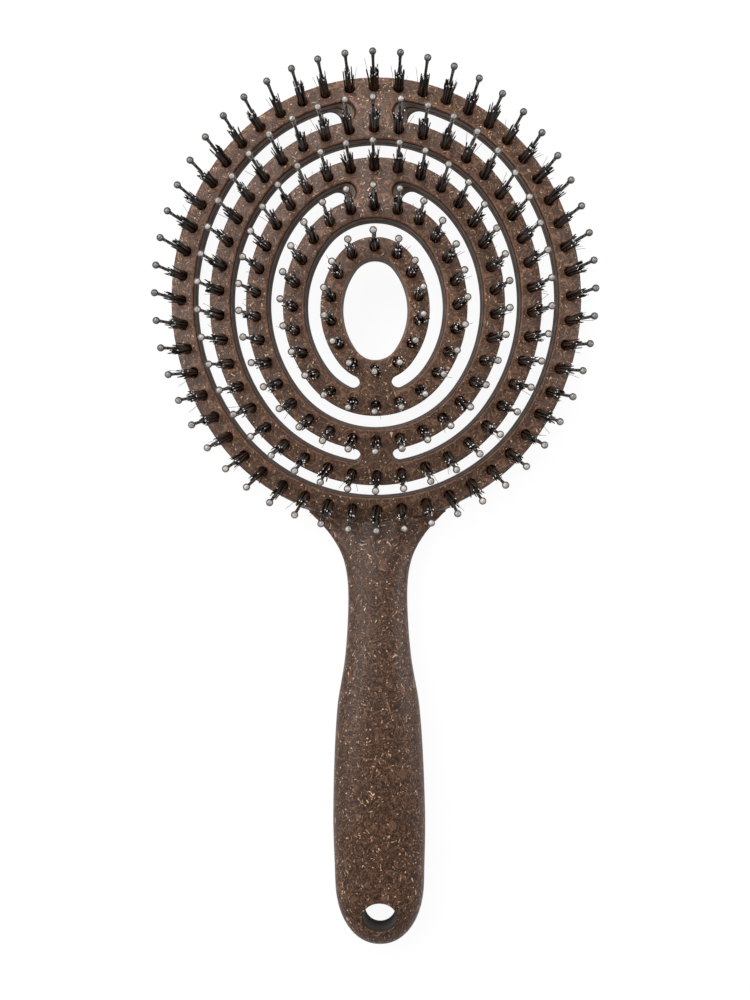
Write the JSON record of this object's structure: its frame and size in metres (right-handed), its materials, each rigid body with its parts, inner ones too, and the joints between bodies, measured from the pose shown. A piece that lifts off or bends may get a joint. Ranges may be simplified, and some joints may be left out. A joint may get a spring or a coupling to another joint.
{
  "type": "round detangling hair brush",
  "caption": "Flat hair brush with a domed oval head of nested flexing rings, ball-tipped pins in bristle tufts, and a handle with a hanging hole.",
  "frame": {"origin": "under the middle of the whole brush, on the table that it lies on", "axes": "+Z is the way the pins point, away from the brush's back; +Y runs from the handle's end to the head; +X is to the right when the pins face the viewer and the head is up"},
  "size_m": [0.116, 0.2346, 0.0302],
  "materials": {
    "body": "satin",
    "pin": "gloss",
    "ball": "satin",
    "bristle": "natural",
    "anchor": "drawn"
  },
  "bodies": {
    "frame": {"handle": "body", "ring_1": "body", "pins_1": "pin", "tips_1": "ball", "tufts_1": "bristle", "anchors_1": "anchor"},
    "second_ring": {"ring_2": "body", "pins_2": "pin", "tips_2": "ball", "tufts_2": "bristle", "anchors_2": "anchor"},
    "third_ring": {"ring_3": "body", "pins_3": "pin", "tips_3": "ball", "tufts_3": "bristle", "anchors_3": "anchor"},
    "fourth_ring": {"ring_4": "body", "pins_4": "pin", "tips_4": "ball", "tufts_4": "bristle", "anchors_4": "anchor"},
    "fifth_ring": {"ring_5": "body", "pins_5": "pin", "tips_5": "ball", "tufts_5": "bristle", "anchors_5": "anchor"}
  },
  "joints": [
    {"name": "bridge_1", "type": "hinge", "parent": "frame", "child": "second_ring", "pos_m": [0, 0.10429, 0.00556], "axis": [1, 0, 0], "range_deg": [-3, 6], "stiffness_Nm_per_rad": 1},
    {"name": "bridge_2", "type": "hinge", "parent": "second_ring", "child": "third_ring", "pos_m": [0, 0.01197, 0.00826], "axis": [-1, 0, 0], "range_deg": [-3, 6], "stiffness_Nm_per_rad": 1},
    {"name": "bridge_3", "type": "hinge", "parent": "third_ring", "child": "fourth_ring", "pos_m": [0, 0.0823, 0.01029], "axis": [1, 0, 0], "range_deg": [-3, 6], "stiffness_Nm_per_rad": 1},
    {"name": "bridge_4", "type": "hinge", "parent": "fourth_ring", "child": "fifth_ring", "pos_m": [0, 0.03013, 0.01168], "axis": [-1, 0, 0], "range_deg": [-3, 6], "stiffness_Nm_per_rad": 1}
  ]
}
